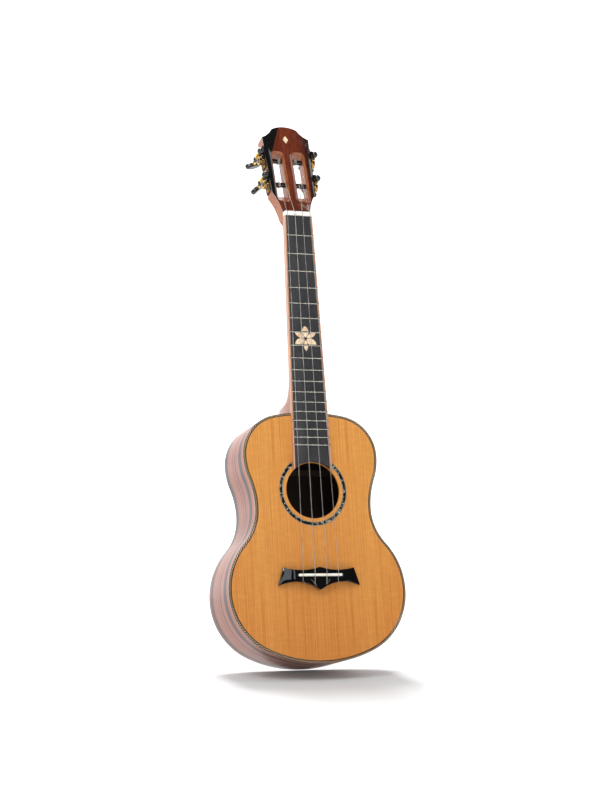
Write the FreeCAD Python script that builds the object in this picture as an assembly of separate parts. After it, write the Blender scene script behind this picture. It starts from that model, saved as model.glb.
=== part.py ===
"""Tenor ukulele with a slotted headstock and four geared tuners, as separate solids in millimetres.

Frame: X to the viewer's right, Y from the soundboard towards the back, Z up the neck.
Origin: lowest point of the tail on the centreline, in the plane of the soundboard's face.
Each sub-part is written to parts/NODE.step.
"""
import FreeCAD, Part
import math
import os

V = FreeCAD.Vector
X_AXIS, Y_AXIS = V(1, 0, 0), V(0, 1, 0)
CENTRE_PLANE = (V(0, 0, 0), X_AXIS)

# ---- body outline -----------------------------------------------------------
body_length = 292.4
lower_bout_width = 216.0
lower_bout_height = 83.0        # its widest line, above the tail
waist_width = 142.0
waist_height = 179.0            # its narrowest line, above the tail
upper_bout_width = 165.0
upper_bout_drop = 51.7          # its widest line, below the neck end
tail_roundness = 0.915          # corner radius over lower_bout_height
shoulder_roundness = 0.938      # corner radius over upper_bout_drop
waist_share_low = 0.424         # waist's share of the two radii of the S towards the lower bout
waist_share_high = 0.56         # the same towards the upper bout
body_depth_tail = 77.0
body_depth_neck = 71.5

# ---- body plates and rims ---------------------------------------------------
soundboard_thickness = 2.2
back_thickness = 2.4
side_thickness = 2.0
binding_width = 3.2
binding_depth = 3.6
back_binding_width = 2.2
back_binding_depth = 3.0
lining_width = 5.0
lining_height = 12.0
head_block_width = 62.0
head_block_length = 30.0
tail_block_width = 48.0
tail_block_length = 12.0
tenon_width = 20.0
tenon_top = 8.0                 # below the soundboard's face
tenon_height = 42.0
tenon_length = 16.0

# ---- soundhole and rosette --------------------------------------------------
soundhole_radius = 32.8
soundhole_drop = 92.8           # its centre, below the neck end
rosette_inner_radius = 37.7
rosette_width = 3.2
rosette_line_width = 0.8
rosette_depth = 1.0

# ---- braces -----------------------------------------------------------------
upper_brace_gap = 12.0          # from the soundhole's edge
lower_brace_gap = 9.0
cross_brace_width = 7.0
cross_brace_height = 10.0
fan_brace_width = 5.0
fan_brace_height = 6.0
fan_brace_angle = 14.0
fan_brace_spacing = 34.0        # between neighbours at the bridge
bridge_plate_width = 112.0
bridge_plate_length = 34.0
bridge_plate_thickness = 2.2
back_brace_heights = (58.0, 140.0, 232.0)

# ---- neck and fretboard -----------------------------------------------------
scale_length = 432.0
body_fret = 14
fret_count = 18
nut_width = 35.0
board_width_at_body = 44.4
fretboard_thickness = 5.0
fretboard_binding_width = 1.6
fretboard_end_gap = 0.5         # from the soundhole's edge
nut_thickness = 5.0
nut_height = 7.4
fret_width = 2.0
fret_crown = 1.0
fret_tang_width = 0.5
fret_tang_depth = 1.8
neck_depth_at_nut = 13.5
neck_depth_at_heel = 16.0
heel_depth = 82.0               # of the rounded heel before the back cuts it flat
heel_length = 13.0
heel_sweep = 46.0               # the curve from the heel into the neck
heel_steps = 9
heel_cap_thickness = 2.5

# ---- headstock, in its own plane: x, depth behind the face, length towards the crown -----------
headstock_angle = 13.5
headstock_face_y = -1.0         # where the face's plane meets the back edge of the nut
headstock_face_z_offset = 2.0   # of that place, above the nut's front edge
headstock_thickness = 17.0
veneer_thickness = 1.2
flare_start = 4.0
flare_mid_width = 39.6
flare_mid = 14.5
shoulder_width = 54.4
shoulder_length = 31.0
ear_width = 59.8
ear_length = 110.0
scallop_width = 44.5
scallop_length = 114.8
crown_width = 32.2
crown_length = 122.5
headstock_length = 126.5
volute_length = 12.0            # how far the headstock's rounded foot runs down the neck's back
slot_inner_x = 6.5
slot_width = 13.0
slot_start = 21.0
slot_end = 89.0
slot_corner_radius = 4.0
slot_ramp_end = 37.0
slot_ramp_mid = 26.0
slot_chamfer = 2.2

# ---- bridge and saddle, heights from the saddle's line ----------------------
bridge_thickness = 8.0
bridge_top_width = 86.0
bridge_top_corner = 9.0
bridge_top_dip = 5.8
bridge_top_peak = 9.4
bridge_bottom_width = 99.0
bridge_bottom_corner = 11.5
bridge_bottom_dip = 8.0
bridge_bottom_tip = 17.0
bridge_dip_x = 22.5
bridge_flat_width = 63.0
bridge_wing_thickness = 4.4
saddle_length = 53.3
saddle_thickness = 3.2
saddle_slot_depth = 5.0
saddle_top = 10.5               # above the soundboard

# ---- strings: name, diameter, distance of its anchor below the saddle ----------------------
string_rows = (("g", 0.72, 6.5), ("c", 0.90, 10.5), ("e", 0.78, 10.5), ("a", 0.62, 6.5))
string_spacing_nut = 9.5
string_spacing_saddle = 14.4
nut_slot_height = 6.6           # underside of the strings at the nut
string_clearance = 0.03
groove_clearance = 0.08
ball_growth = 1.03              # ball at a bend over the string's own radius
anchor_depth = 5.5
winding_turns = 3
winding_gap = 0.12              # between neighbouring turns
winding_clearance = 0.12
winding_from_inner_wall = (9.0, 5.6, 5.6, 9.0)

# ---- tuners, in their own frame: out of the side, backwards, towards the crown --------------
tuner_lengths = (46.6, 80.6)    # roller axes along the headstock, lower and upper
roller_radius = 3.1
bearing_depth = 4.5
running_clearance = 0.05
roller_shaft_radius = 2.2
plate_thickness = 1.6
plate_width = 13.0
plate_below = 11.4
plate_above = 17.5
screw_below = 8.9
screw_above = 14.6
screw_head_radius = 2.1
screw_head_height = 1.3
screw_radius = 1.1
screw_length = 9.0
gear_module = 0.75
gear_teeth = 14
gear_face = 3.0
gear_gap = 2.4                  # between the plate and the teeth
gear_hub_radius = 3.4
gear_recess_radius = 3.3
gear_recess_depth = 0.8
gear_backlash = 0.10            # taken off each flank of a tooth
worm_backlash = 0.20            # taken off each flank of the thread
worm_pitch_radius = 2.75
worm_turns = 4
worm_shaft_radius = 1.5
pressure_angle = 20.0
root_gap = 0.19                 # between a tip and the root opposite
ear_offset = 9.0                # of each ear's centre, in front of and behind the roller's axis
front_ear_radius = 4.2
back_ear_radius = 3.7
ear_inner_gap = 0.9             # between an ear and the thread's end
ear_web_length = 6.4
collar_radius = 2.3
collar_length = 5.0
button_width = 20.5
button_height = 10.0
button_thickness = 6.2
button_edge_radius = 2.6
button_grip = 6.0               # how far the shaft goes into the button
button_rest_angles = (38.0, 15.0, 8.0, 24.0)
gear_screw_radius = 1.1
gear_screw_head_radius = 2.7
gear_screw_head_height = 1.5
gear_screw_slot = 0.6

# ---- inlays -----------------------------------------------------------------
inlay_depth = 0.8
flower_height = 31.0
flower_petals = 6
flower_heart = 1.4              # clear radius at the flower's middle
petal_widths = (8.6, 5.6)
flower_between_frets = (7, 8)
diamond_width = 7.0
diamond_height = 11.0
diamond_length = 108.0          # its middle, along the headstock

# ---- places worked out from the sizes ---------------------------------------
far = 400.0                     # longer than the whole instrument is wide


def fret_distance(number):
    """Distance from the saddle to a fret."""
    return scale_length * 2 ** (-number / 12.0)


saddle_z = body_length - fret_distance(body_fret)
nut_z = saddle_z + scale_length
neck_top_z = nut_z + nut_thickness
soundhole_z = body_length - soundhole_drop
roller_depth = headstock_thickness / 2
side_angle = math.degrees(math.atan2((ear_width - shoulder_width) / 2, ear_length - shoulder_length))
worm_lead = math.pi * gear_module
gear_pitch_radius = gear_module * gear_teeth / 2
worm_distance = gear_pitch_radius + worm_pitch_radius
gear_near = plate_thickness + gear_gap
gear_far = gear_near + gear_face
gear_middle = (gear_near + gear_far) / 2
head_place = FreeCAD.Placement(
    V(0, headstock_face_y, nut_z + headstock_face_z_offset),
    FreeCAD.Rotation(X_AXIS, -headstock_angle),
)


# ---- small helpers ----------------------------------------------------------
def block(x0, x1, y0, y1, z0, z1):
    """Box between two corners."""
    return Part.makeBox(x1 - x0, y1 - y0, z1 - z0, V(x0, y0, z0))


def rod(start, end, radius):
    """Cylinder between two points."""
    return Part.makeCylinder(radius, (end - start).Length, start, end - start)


def mirrored(shape):
    """The same shape on the other side of the centre plane."""
    return shape.mirror(*CENTRE_PLANE)


def arc3(start, middle, end):
    """Arc edge through three points."""
    return Part.Arc(start, middle, end).toShape()


def line(start, end):
    """Straight edge."""
    return Part.LineSegment(start, end).toShape()


def closed_face(edges):
    """Flat face inside a ring of edges."""
    return Part.Face(Part.Wire(Part.__sortEdges__(edges)))


def polygon_prism(points, direction):
    """Prism over a closed polygon."""
    return Part.Face(Part.makePolygon(points + points[:1])).extrude(direction)


def placed(shape, placement):
    """Copy of a shape moved by a placement."""
    copy = shape.copy()
    copy.Placement = placement.multiply(copy.Placement)
    return copy


def fused(shapes):
    """One solid from touching or overlapping shapes."""
    return shapes[0].multiFuse(shapes[1:]).removeSplitter()


def export(name, shape):
    """Write one node."""
    shape.exportStep("parts/" + name + ".step")


# ---- body -------------------------------------------------------------------
def half_outline(inset):
    """Arcs of the right half, tail to neck: centre x, centre z, radius, first and last angle."""
    lower, waist, upper = lower_bout_width / 2, waist_width / 2, upper_bout_width / 2
    upper_z = body_length - upper_bout_drop
    tail_corner = tail_roundness * lower_bout_height
    shoulder_corner = shoulder_roundness * upper_bout_drop
    rise_low, rise_high = waist_height - lower_bout_height, upper_z - waist_height
    radii_low = ((lower - waist) ** 2 + rise_low ** 2) / (2 * (lower - waist))
    radii_high = ((upper - waist) ** 2 + rise_high ** 2) / (2 * (upper - waist))
    waist_low, waist_high = waist_share_low * radii_low, waist_share_high * radii_high
    tail = end_radius(lower, lower_bout_height, tail_corner)
    top = end_radius(upper, upper_bout_drop, shoulder_corner)
    turn_tail = math.atan2(lower_bout_height - tail, lower - tail_corner)
    turn_low = math.atan2(rise_low, waist + radii_low - lower)
    turn_high = math.atan2(rise_high, upper - radii_high - waist)
    turn_top = math.atan2(top - upper_bout_drop, upper - shoulder_corner)
    half_turn = math.pi
    return (
        (0, tail, tail - inset, -half_turn / 2, turn_tail),
        (lower - tail_corner, lower_bout_height, tail_corner - inset, turn_tail, 0),
        (lower - radii_low + waist_low, lower_bout_height, radii_low - waist_low - inset, 0, turn_low),
        (waist + waist_low, waist_height, waist_low + inset, turn_low + half_turn, half_turn),
        (waist + waist_high, waist_height, waist_high + inset, half_turn, turn_high),
        (upper - radii_high + waist_high, upper_z, radii_high - waist_high - inset,
         turn_high - half_turn, 0),
        (upper - shoulder_corner, upper_z, shoulder_corner - inset, 0, turn_top),
        (0, body_length - top, top - inset, turn_top, half_turn / 2),
    )


def end_radius(half_width, height, corner):
    """Radius of the end arc that is tangent to a corner arc and to the end line."""
    return (half_width ** 2 - 2 * half_width * corner + height ** 2) / (2 * (height - corner))


def outline_prism(inset, y0, y1):
    """Prism over the body's outline, moved inwards by inset."""
    edges = []
    for x, z, radius, first, last in half_outline(inset):
        angles = (first, (first + last) / 2, last)
        points = [V(x + radius * math.cos(a), y0, z + radius * math.sin(a)) for a in angles]
        edge = arc3(*points)
        edges += [edge, mirrored(edge)]
    return closed_face(edges).extrude(V(0, y1 - y0, 0))


def rim_ring(outer_inset, inner_inset, y0, y1):
    """Ring that follows the body's outline."""
    return outline_prism(outer_inset, y0, y1).cut(outline_prism(inner_inset, y0 - 1, y1 + 1))


def behind_back(inset):
    """Everything behind the back's outer plane, which slopes, moved forwards by inset."""
    slope = (body_depth_neck - body_depth_tail) / body_length
    low_z, high_z = -far / 4, body_length + far / 4
    points = [
        V(-far / 2, body_depth_tail + slope * low_z - inset, low_z),
        V(-far / 2, body_depth_tail + slope * high_z - inset, high_z),
        V(-far / 2, far, high_z),
        V(-far / 2, far, low_z),
    ]
    return polygon_prism(points, V(far, 0, 0))


def back_slab(shape, outer_inset, inner_inset):
    """The part of a shape between two planes parallel to the back."""
    return shape.common(behind_back(inner_inset)).cut(behind_back(outer_inset))


def half_space(sign):
    """Everything on one side of the centre plane."""
    x0 = 0 if sign > 0 else -far
    return block(x0, x0 + far, -far, far, -far, 2 * far)


def head_block_box():
    """Space of the head block before the outline trims it."""
    half = head_block_width / 2
    z0 = body_length - side_thickness - head_block_length
    return block(-half, half, soundboard_thickness, far / 2, z0, body_length)


def tail_block_box():
    """Space of the tail block before the outline trims it."""
    half = tail_block_width / 2
    return block(-half, half, soundboard_thickness, far / 2, 0, side_thickness + tail_block_length)


def tenon_box():
    """Neck tenon, from inside the head block to just outside the body."""
    half = tenon_width / 2
    z0 = body_length - tenon_length
    return block(-half, half, tenon_top, tenon_top + tenon_height, z0, body_length + 1)


def soundhole_tube(inner, outer, y0, y1):
    """Disc or ring around the soundhole's axis."""
    centre = V(0, y0, soundhole_z)
    ring = Part.makeCylinder(outer, y1 - y0, centre, Y_AXIS)
    if inner > 0:
        ring = ring.cut(Part.makeCylinder(inner, y1 - y0, centre, Y_AXIS))
    return ring


def make_soundboard():
    """Top plate with its soundhole and the channel of the rosette."""
    plate = outline_prism(binding_width, 0, soundboard_thickness)
    plate = plate.cut(soundhole_tube(0, soundhole_radius, -1, soundboard_thickness + 1))
    inner = rosette_inner_radius - rosette_line_width
    outer = rosette_inner_radius + rosette_width + rosette_line_width
    return plate.cut(soundhole_tube(inner, outer, 0, rosette_depth))


def make_rosette():
    """Shell ring and the two groups of lines beside it."""
    shell_outer = rosette_inner_radius + rosette_width
    shell = soundhole_tube(rosette_inner_radius, shell_outer, 0, rosette_depth)
    inner_line = soundhole_tube(rosette_inner_radius - rosette_line_width, rosette_inner_radius,
                                0, rosette_depth)
    outer_line = soundhole_tube(shell_outer, shell_outer + rosette_line_width, 0, rosette_depth)
    export("rosette_shell_ring", shell)
    export("rosette_lines", Part.makeCompound([inner_line, outer_line]))


def make_back():
    """Back plate, inside its binding."""
    return back_slab(outline_prism(back_binding_width, far / 10, far / 4), 0, back_thickness)


def make_bindings():
    """Edge strips round the soundboard and the back."""
    export("top_binding", rim_ring(0, binding_width, 0, binding_depth))
    ring = rim_ring(0, back_binding_width, far / 10, far / 4)
    export("back_binding", back_slab(ring, 0, back_binding_depth))


def make_sides():
    """Bent sides, split on the centreline at both ends, with the notch for the tenon."""
    ring = rim_ring(0, side_thickness, binding_depth, far / 4)
    ring = ring.cut(behind_back(back_binding_depth)).cut(tenon_box())
    export("side_bass", ring.common(half_space(-1)))
    export("side_treble", ring.common(half_space(1)))


def make_linings():
    """Strips that glue the sides to the two plates, stopped at the blocks."""
    blocks = head_block_box().fuse(tail_block_box())
    front = rim_ring(side_thickness, side_thickness + lining_width,
                     soundboard_thickness, soundboard_thickness + lining_height)
    front = front.cut(rim_ring(0, binding_width, 0, binding_depth)).cut(blocks)
    ring = rim_ring(side_thickness, side_thickness + lining_width, far / 10, far / 4)
    rebate = back_slab(rim_ring(0, back_binding_width, far / 10, far / 4), -1, back_binding_depth)
    back = back_slab(ring, back_thickness, back_thickness + lining_height).cut(rebate).cut(blocks)
    for side, sign in (("bass", -1), ("treble", 1)):
        export("top_lining_" + side, front.common(half_space(sign)))
        export("back_lining_" + side, back.common(half_space(sign)))


def make_blocks():
    """Head block with its mortise, and tail block."""
    inside = outline_prism(side_thickness, soundboard_thickness, far / 4)
    inside = inside.cut(behind_back(back_thickness))
    inside = inside.cut(rim_ring(0, binding_width, 0, binding_depth))
    rebate = back_slab(rim_ring(0, back_binding_width, far / 10, far / 4), -1, back_binding_depth)
    inside = inside.cut(rebate)
    export("head_block", inside.common(head_block_box()).cut(tenon_box()))
    export("tail_block", inside.common(tail_block_box()))


def cross_bar(middle_z, y0, y1):
    """Bar across the body, trimmed inside the linings."""
    half = cross_brace_width / 2
    bar = block(-far / 2, far / 2, y0, y1, middle_z - half, middle_z + half)
    return bar.common(outline_prism(side_thickness + lining_width, y0 - 1, y1 + 1))


def bridge_plate_box():
    """Plate under the soundboard, opposite the bridge."""
    half = bridge_plate_width / 2
    middle_z = saddle_z + (bridge_top_corner - bridge_bottom_corner) / 2
    return block(-half, half, soundboard_thickness, soundboard_thickness + bridge_plate_thickness,
                 middle_z - bridge_plate_length / 2, middle_z + bridge_plate_length / 2)


def fan_brace(offset):
    """One fan brace, from the lower cross brace to the tail block, notched over the bridge plate."""
    top_z = soundhole_z - soundhole_radius - lower_brace_gap - cross_brace_width
    angle = -fan_brace_angle * offset
    half = fan_brace_width / 2
    y1 = soundboard_thickness + fan_brace_height
    bar = block(-half, half, soundboard_thickness, y1, -far, far)
    turn = FreeCAD.Rotation(Y_AXIS, -angle)
    bar = placed(bar, FreeCAD.Placement(V(offset * fan_brace_spacing, 0, saddle_z), turn))
    room = outline_prism(side_thickness + lining_width, 0, y1 + 1)
    room = room.common(block(-far, far, 0, far, side_thickness + tail_block_length, top_z))
    return bar.common(room).cut(bridge_plate_box())


def make_braces():
    """Braces of the soundboard and the back, and the bridge plate."""
    y0 = soundboard_thickness
    upper_z = soundhole_z + soundhole_radius + upper_brace_gap + cross_brace_width / 2
    lower_z = soundhole_z - soundhole_radius - lower_brace_gap - cross_brace_width / 2
    export("upper_top_brace", cross_bar(upper_z, y0, y0 + cross_brace_height))
    export("lower_top_brace", cross_bar(lower_z, y0, y0 + cross_brace_height))
    export("fan_braces", Part.makeCompound([fan_brace(offset) for offset in (-1, 0, 1)]))
    export("bridge_plate", bridge_plate_box())
    bars = [cross_bar(z, far / 10, far / 4) for z in back_brace_heights]
    inset = back_thickness + cross_brace_height
    export("back_braces", Part.makeCompound([back_slab(bar, back_thickness, inset) for bar in bars]))


# ---- neck -------------------------------------------------------------------
def board_half(z):
    """Half the fretboard's width at a height."""
    taper = (board_width_at_body - nut_width) / (nut_z - body_length)
    return (nut_width + taper * (nut_z - z)) / 2


def neck_section(z, depth):
    """D-shaped section: flat under the fretboard, half an ellipse behind."""
    roundness = 0.5523          # control points of a quarter ellipse
    half = board_half(z)
    poles = [V(half, 0, z), V(half, roundness * depth, z), V(roundness * half, depth, z), V(0, depth, z)]
    quarter = Part.BezierCurve()
    quarter.setPoles(poles)
    quarter = quarter.toShape()
    top = line(V(-half, 0, z), V(half, 0, z))
    return Part.Wire(Part.__sortEdges__([quarter, mirrored(quarter), top]))


def neck_depth(z):
    """Depth of the neck's shaft at a height."""
    share = (z - body_length) / (nut_z - body_length)
    return neck_depth_at_heel + share * (neck_depth_at_nut - neck_depth_at_heel)


def make_shaft():
    """Straight neck from the body to the nut."""
    ends = [neck_section(z, neck_depth(z)) for z in (body_length - 2, neck_top_z)]
    return Part.makeLoft(ends, True, True)


def make_heel():
    """Heel that deepens from the neck to the back in one curve."""
    start = body_length + heel_length
    sections = [neck_section(body_length - 2, heel_depth), neck_section(start, heel_depth)]
    for step in range(1, heel_steps + 1):
        turn = math.radians(90.0 * step / heel_steps)
        z = start + heel_sweep * (1 - math.cos(turn))
        depth = neck_depth(z) + (heel_depth - neck_depth(z)) * (1 - math.sin(turn)) ** 1.4
        sections.append(neck_section(z, depth))
    root = Part.makeLoft(sections[:2], True, True)
    return root.fuse(Part.makeLoft(sections[1:], True, False))


def headstock_prism(y0, y1):
    """Prism over the headstock's outline, with its foot, between two depths."""
    def at(width, length):
        return V(width / 2, y0, length)
    right = [
        arc3(at(nut_width, flare_start), at(flare_mid_width, flare_mid),
             at(shoulder_width, shoulder_length)),
        line(at(shoulder_width, shoulder_length), at(ear_width, ear_length)),
        arc3(at(ear_width, ear_length), at(scallop_width, scallop_length), at(crown_width, crown_length)),
    ]
    crown = arc3(at(-crown_width, crown_length), at(0, headstock_length), at(crown_width, crown_length))
    foot = arc3(at(-nut_width, flare_start), at(0, -volute_length), at(nut_width, flare_start))
    edges = right + [mirrored(edge) for edge in right] + [crown, foot]
    return closed_face(edges).extrude(V(0, y1 - y0, 0))


def rounded_slot(grow, y):
    """Rounded rectangle of the right slot at one depth, larger all round by grow."""
    x0, x1 = slot_inner_x - grow, slot_inner_x + slot_width + grow
    z0, z1 = slot_start - grow, slot_end + grow
    r = slot_corner_radius + grow
    d = r * (1 - math.sqrt(0.5))
    edges = [
        line(V(x0 + r, y, z0), V(x1 - r, y, z0)),
        arc3(V(x1 - r, y, z0), V(x1 - d, y, z0 + d), V(x1, y, z0 + r)),
        line(V(x1, y, z0 + r), V(x1, y, z1 - r)),
        arc3(V(x1, y, z1 - r), V(x1 - d, y, z1 - d), V(x1 - r, y, z1)),
        line(V(x1 - r, y, z1), V(x0 + r, y, z1)),
        arc3(V(x0 + r, y, z1), V(x0 + d, y, z1 - d), V(x0, y, z1 - r)),
        line(V(x0, y, z1 - r), V(x0, y, z0 + r)),
        arc3(V(x0, y, z0 + r), V(x0 + d, y, z0 + d), V(x0 + r, y, z0)),
    ]
    return Part.Wire(edges)


def slot_tool():
    """Space of the right slot: straight walls, a scooped ramp at the nut end and a bevelled rim."""
    margin = 1.0
    y0, y1 = -margin, headstock_thickness + margin
    walls = Part.Face(rounded_slot(0, y0)).extrude(V(0, y1 - y0, 0))
    x0 = slot_inner_x - margin
    ramp = closed_face([
        arc3(V(x0, y0, slot_start - margin), V(x0, roller_depth, slot_ramp_mid), V(x0, y1, slot_ramp_end)),
        line(V(x0, y1, slot_ramp_end), V(x0, y1, slot_end + margin)),
        line(V(x0, y1, slot_end + margin), V(x0, y0, slot_end + margin)),
        line(V(x0, y0, slot_end + margin), V(x0, y0, slot_start - margin)),
    ]).extrude(V(slot_width + 2 * margin, 0, 0))
    wide = rounded_slot(slot_chamfer, veneer_thickness)
    narrow = rounded_slot(0, veneer_thickness + slot_chamfer)
    bevel = Part.makeLoft([wide, narrow], True, True)
    return walls.common(ramp).fuse(bevel).fuse(veneer_slot())


def veneer_slot():
    """The veneer's own opening over the right slot, which leaves the bevel beneath in view."""
    return Part.Face(rounded_slot(slot_chamfer, -1)).extrude(V(0, 1 + veneer_thickness, 0))


def make_neck():
    """Neck with its heel, tenon and headstock core, and the heel cap and headstock veneer."""
    heel = make_heel()
    cap = back_slab(heel, 0, heel_cap_thickness)
    body = outline_prism(0, -1, far / 4)
    blank = make_shaft().fuse(heel.cut(behind_back(heel_cap_thickness)))
    blank = blank.cut(body).fuse(tenon_box())
    core = placed(headstock_prism(veneer_thickness, headstock_thickness), head_place)
    blank = blank.fuse(core).cut(block(-far, far, -far, 0, 0, neck_top_z))
    slot = placed(slot_tool(), head_place)
    tools = [slot, mirrored(slot)] + [tool for tuner in range(4) for tool in tuner_bores(tuner)]
    for tool in tools:
        blank = blank.cut(tool)
    veneer = placed(headstock_prism(0, veneer_thickness), head_place)
    veneer = veneer.cut(block(-far, far, -far, far, 0, neck_top_z))
    veneer = veneer.cut(slot).cut(mirrored(slot)).cut(diamond())
    export("neck", blank.removeSplitter())
    export("heel_cap", cap.cut(body))
    export("headstock_veneer", veneer)
    export("headstock_diamond", diamond())


def diamond():
    """Plain lozenge let into the headstock's face."""
    points = [
        V(0, 0, diamond_length - diamond_height / 2),
        V(diamond_width / 2, 0, diamond_length),
        V(0, 0, diamond_length + diamond_height / 2),
        V(-diamond_width / 2, 0, diamond_length),
    ]
    return placed(polygon_prism(points, V(0, inlay_depth, 0)), head_place)


def board_prism(inset, outset):
    """Fretboard's plan between its tapering edges, both moved inwards, up to the soundhole."""
    z0, z1 = soundhole_z, nut_z
    outer0, outer1 = board_half(z0) - outset, board_half(z1) - outset
    points = [V(-outer0, 0, z0), V(outer0, 0, z0), V(outer1, 0, z1), V(-outer1, 0, z1)]
    board = polygon_prism(points, V(0, -fretboard_thickness, 0))
    if inset > outset:
        board = board.cut(board_prism(0, inset))
    end_arc_radius = soundhole_radius + fretboard_end_gap
    return board.cut(soundhole_tube(0, end_arc_radius, -2 * fretboard_thickness, 1))


def petal(index):
    """One leaf-shaped petal in the fretboard's surface."""
    middle_z = saddle_z + sum(fret_distance(n) for n in flower_between_frets) / 2
    tip = flower_height / 2
    bulge = petal_widths[index % 2] / 2
    middle = (flower_heart + tip) / 2
    base, end = V(0, 0, flower_heart), V(0, 0, tip)
    leaf = closed_face([arc3(base, V(bulge, 0, middle), end), arc3(base, V(-bulge, 0, middle), end)])
    leaf = leaf.extrude(V(0, inlay_depth, 0))
    turn = FreeCAD.Rotation(Y_AXIS, 360.0 * index / flower_petals)
    return placed(leaf, FreeCAD.Placement(V(0, -fretboard_thickness, middle_z), turn))


def fret(number):
    """One fret: a half-round crown across the board and a tang inside the bindings."""
    z = saddle_z + fret_distance(number)
    surface = -fretboard_thickness
    half = board_half(z) - 0.2
    crown = closed_face([
        arc3(V(-half, surface, z - fret_width / 2), V(-half, surface - fret_crown, z),
             V(-half, surface, z + fret_width / 2)),
        line(V(-half, surface, z + fret_width / 2), V(-half, surface, z - fret_width / 2)),
    ]).extrude(V(2 * half, 0, 0))
    reach = board_half(z) - fretboard_binding_width - 0.3
    tang = block(-reach, reach, surface, surface + fret_tang_depth,
                 z - fret_tang_width / 2, z + fret_tang_width / 2)
    return crown.fuse(tang)


def make_fretboard():
    """Fretboard, its two edge strips, the frets and the flower."""
    frets = [fret(number) for number in range(1, fret_count + 1)]
    petals = [petal(index) for index in range(flower_petals)]
    board = board_prism(0, fretboard_binding_width)
    for tool in frets + petals:
        board = board.cut(tool)
    strips = board_prism(fretboard_binding_width, 0)
    flower = []
    for leaf in petals:
        for tool in frets:
            leaf = leaf.cut(tool)
        flower += leaf.Solids
    export("fretboard", board)
    export("fretboard_binding_bass", strips.common(half_space(-1)))
    export("fretboard_binding_treble", strips.common(half_space(1)))
    export("frets", Part.makeCompound(frets))
    export("fretboard_flower", Part.makeCompound(flower))


def make_nut(grooves):
    """Nut with a groove for each string."""
    half = nut_width / 2
    nut = block(-half, half, -nut_height, 0, nut_z, neck_top_z)
    for groove in grooves:
        nut = nut.cut(groove)
    export("nut", nut)


# ---- bridge -----------------------------------------------------------------
def saddle_shape(y0, y1):
    """Round-ended bar of the saddle between two heights."""
    half = (saddle_length - saddle_thickness) / 2
    radius = saddle_thickness / 2
    bar = block(-half, half, y0, y1, saddle_z - radius, saddle_z + radius)
    ends = [Part.makeCylinder(radius, y1 - y0, V(sign * half, y0, saddle_z), Y_AXIS) for sign in (-1, 1)]
    return fused([bar] + ends)


def make_bridge(holes):
    """Bridge with pointed middle, hollowed wings, the saddle's slot and the string holes."""
    def at(x, height):
        return V(x, 0, saddle_z + height)
    top_half, bottom_half = bridge_top_width / 2, bridge_bottom_width / 2
    right = [
        arc3(at(0, bridge_top_peak), at(bridge_dip_x, bridge_top_dip), at(top_half, bridge_top_corner)),
        line(at(top_half, bridge_top_corner), at(bottom_half, -bridge_bottom_corner)),
        arc3(at(bottom_half, -bridge_bottom_corner), at(bridge_dip_x, -bridge_bottom_dip),
             at(0, -bridge_bottom_tip)),
    ]
    bridge = closed_face(right + [mirrored(edge) for edge in right]).extrude(V(0, -bridge_thickness, 0))
    flat, wing = bridge_flat_width / 2, bridge_wing_thickness
    low_z, outer = saddle_z - 2 * bridge_bottom_tip, bottom_half + 4
    scoop = closed_face([
        arc3(V(flat, -bridge_thickness, low_z),
             V(flat + 0.35 * (outer - flat), -wing - 0.30 * (bridge_thickness - wing), low_z),
             V(outer, -wing, low_z)),
        line(V(outer, -wing, low_z), V(outer, -2 * bridge_thickness, low_z)),
        line(V(outer, -2 * bridge_thickness, low_z), V(flat, -2 * bridge_thickness, low_z)),
        line(V(flat, -2 * bridge_thickness, low_z), V(flat, -bridge_thickness, low_z)),
    ]).extrude(V(0, 0, 4 * bridge_bottom_tip))
    slot_floor = saddle_slot_depth - bridge_thickness
    bridge = bridge.cut(scoop).cut(mirrored(scoop)).cut(saddle_shape(-far / 4, slot_floor))
    for hole in holes:
        bridge = bridge.cut(hole)
    export("bridge", bridge)
    crown = saddle_top - saddle_thickness / 2
    saddle = saddle_shape(-crown, slot_floor)
    half = (saddle_length - saddle_thickness) / 2
    ridge = Part.makeCylinder(saddle_thickness / 2, 2 * half, V(-half, -crown, saddle_z), X_AXIS)
    balls = [Part.makeSphere(saddle_thickness / 2, V(sign * half, -crown, saddle_z)) for sign in (-1, 1)]
    export("saddle", fused([saddle, ridge] + balls))


# ---- tuners -----------------------------------------------------------------
def tuner_place(level):
    """Frame of a right-hand tuner: origin on the headstock's side, on the roller's axis."""
    length = tuner_lengths[level]
    width = shoulder_width + (ear_width - shoulder_width) * (
        (length - shoulder_length) / (ear_length - shoulder_length))
    local = FreeCAD.Placement(V(width / 2, roller_depth, length), FreeCAD.Rotation(Y_AXIS, side_angle))
    return head_place.multiply(local)


# name, level on the headstock, and side: -1 bass, 1 treble; in the order of the strings
tuner_rows = (("bass_lower", 0, -1), ("bass_upper", 1, -1), ("treble_upper", 1, 1), ("treble_lower", 0, 1))


def seat_tuner(shape, tuner):
    """Move a shape from the tuner's frame to its place on the instrument."""
    level, side = tuner_rows[tuner][1:]
    seated = placed(shape, tuner_place(level))
    return seated if side > 0 else mirrored(seated)


def roller_reach(level):
    """Length of a roller inwards from the headstock's side."""
    side_x = head_place.inverse().multVec(tuner_place(level).Base).x
    return (side_x - slot_inner_x + bearing_depth) / math.cos(math.radians(side_angle))


def winding_start(tuner):
    """Place of a string's first turn along its roller."""
    level = tuner_rows[tuner][1]
    return winding_from_inner_wall[tuner] + bearing_depth - roller_reach(level)


def screw_places():
    """Middles of the two screw holes in a plate."""
    return V(0, 0, -screw_below), V(0, 0, screw_above)


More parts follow.
